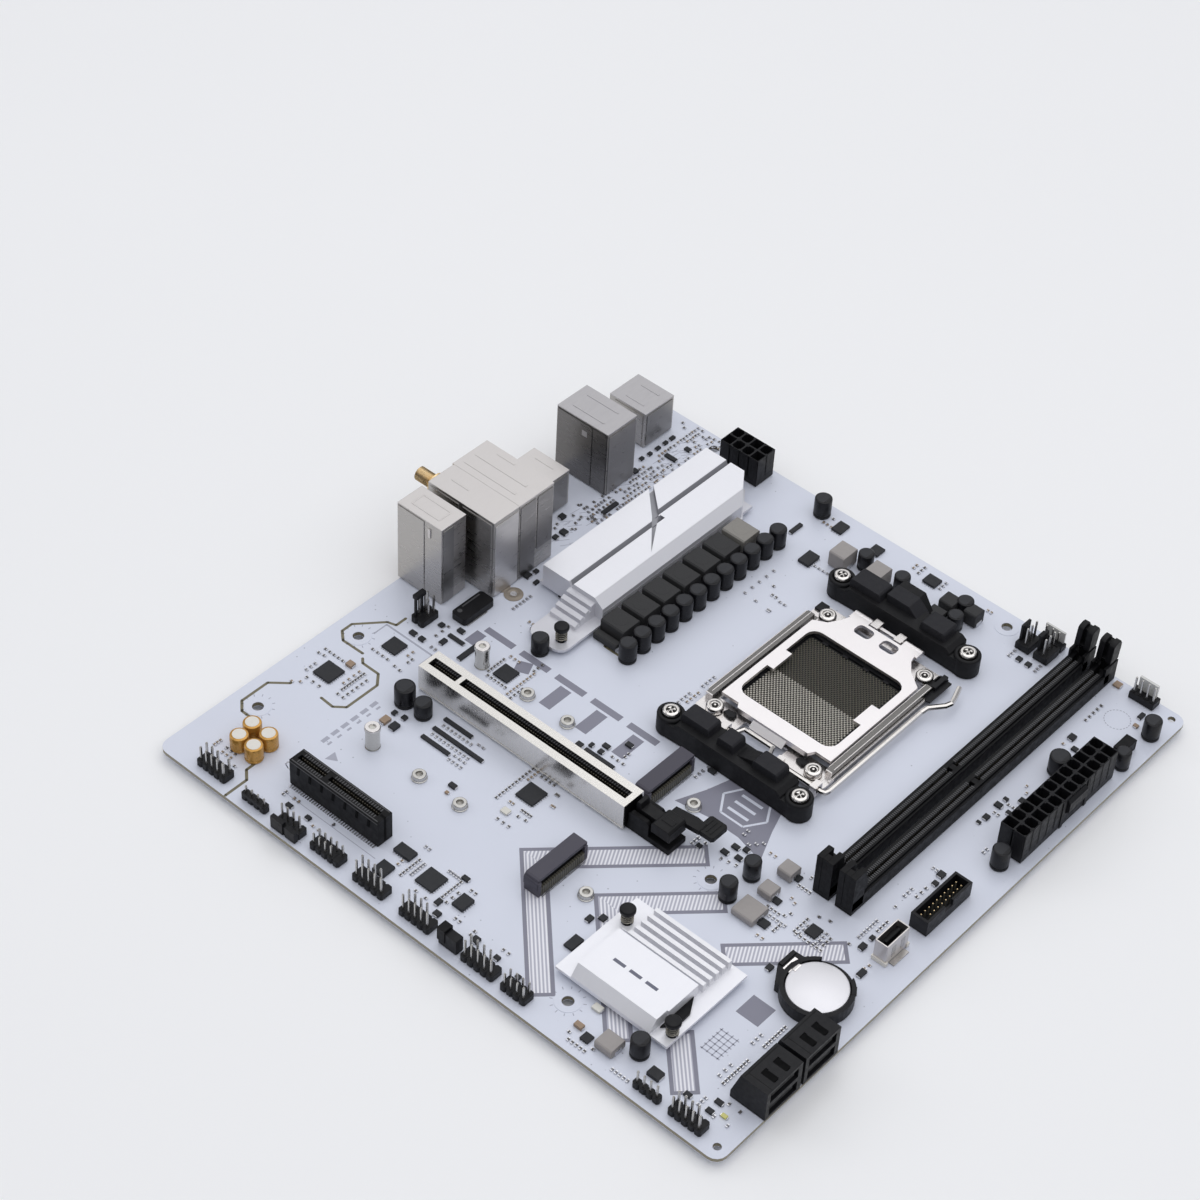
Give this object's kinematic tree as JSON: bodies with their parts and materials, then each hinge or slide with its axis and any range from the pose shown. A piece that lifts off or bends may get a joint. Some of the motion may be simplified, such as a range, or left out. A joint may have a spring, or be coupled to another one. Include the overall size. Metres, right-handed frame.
{
  "type": "motherboard",
  "caption": "Short micro-ATX computer motherboard with a lever-locked processor socket, memory and expansion slots, white heatsinks and rear connector stacks.",
  "frame": {"origin": "centre of the footprint, at the level of the socket backplate's underside", "axes": "+X towards the front edge with the storage connectors, +Y towards the top edge with the processor power connector, +Z out of the component side"},
  "size_m": [0.2476, 0.2438, 0.0384],
  "materials": {
    "white_board": "satin white solder mask",
    "black_plastic": "moulded",
    "grey_plastic": "moulded",
    "bright_steel": "nickel plated",
    "shield_steel": "tinned sheet",
    "white_aluminium": "white coated",
    "gold_plate": "gold plated",
    "dark_ferrite": "sintered",
    "chip_black": "moulded"
  },
  "bodies": {
    "board": {"antenna_block": "shield_steel", "antenna_connector_1": "gold_plate", "antenna_connector_2": "gold_plate", "audio_header": "black_plastic", "audio_stack": "shield_steel", "card_standoff_1": "bright_steel", "card_standoff_2": "bright_steel", "chipset": "chip_black", "chipset_heatsink": "white_aluminium", "chipset_push_pin_1": "black_plastic", "chipset_push_pin_2": "black_plastic", "circuit_board": "white_board", "coin_cell": "bright_steel", "coin_cell_holder": "black_plastic", "cooler_bracket_screw_1": "bright_steel", "cooler_bracket_screw_2": "bright_steel", "cooler_bracket_screw_3": "bright_steel", "cooler_bracket_screw_4": "bright_steel", "display_stack": "shield_steel", "fan_header_1": "black_plastic", "fan_header_2": "black_plastic", "fan_header_3": "black_plastic", "front_panel_header": "black_plastic", "front_usb_c_connector": "bright_steel", "front_usb_header": "black_plastic", "long_expansion_slot": "black_plastic", "long_slot_armour": "bright_steel", "lower_card_socket": "grey_plastic", "lower_cooler_bracket": "black_plastic", "main_power_connector": "black_plastic", "memory_slot_1": "black_plastic", "memory_slot_2": "black_plastic", "middle_usb_stack": "shield_steel", "network_stack": "shield_steel", "processor_power_connector": "black_plastic", "regulator_capacitors": "black_plastic", "regulator_chokes": "dark_ferrite", "regulator_heatsink": "white_aluminium", "regulator_heatsink_screw": "bright_steel", "regulator_push_pin": "black_plastic", "short_expansion_slot": "black_plastic", "socket_backplate": "bright_steel", "socket_frame": "bright_steel", "socket_frame_screw_1": "bright_steel", "socket_frame_screw_2": "bright_steel", "socket_frame_screw_3": "bright_steel", "socket_frame_screw_4": "bright_steel", "socket_housing": "black_plastic", "storage_connector_1": "black_plastic", "storage_connector_2": "black_plastic", "tall_header": "black_plastic", "upper_card_socket": "grey_plastic", "upper_cooler_bracket": "black_plastic", "upper_usb_stack": "shield_steel", "wireless_card_socket": "black_plastic"},
    "lever": {"load_lever": "bright_steel"},
    "plate": {"load_plate": "bright_steel"},
    "latch_1": {"memory_latch_1": "black_plastic"},
    "latch_2": {"memory_latch_2": "black_plastic"},
    "retainer": {"slot_retainer": "black_plastic"}
  },
  "joints": [
    {"name": "lever_hinge", "type": "hinge", "parent": "board", "child": "lever", "pos_m": [0.05795, 0.00848, 0.0074], "axis": [1, 0, 0], "range_deg": [0, 130]},
    {"name": "plate_hinge", "type": "hinge", "parent": "board", "child": "plate", "pos_m": [0.02795, 0.08028, 0.0084], "axis": [-1, 0, 0], "range_deg": [0, 100]},
    {"name": "latch_1_hinge", "type": "hinge", "parent": "board", "child": "latch_1", "pos_m": [0.08195, 0.11908, 0.0062], "axis": [-1, 0, 0], "range_deg": [0, 28]},
    {"name": "latch_2_hinge", "type": "hinge", "parent": "board", "child": "latch_2", "pos_m": [0.09085, 0.11908, 0.0062], "axis": [-1, 0, 0], "range_deg": [0, 28]},
    {"name": "retainer_hinge", "type": "hinge", "parent": "board", "child": "retainer", "pos_m": [0.02475, -0.03977, 0.0082], "axis": [0, 1, 0], "range_deg": [0, 12], "stiffness_Nm_per_rad": 0.03, "springref_deg": -2.86}
  ]
}
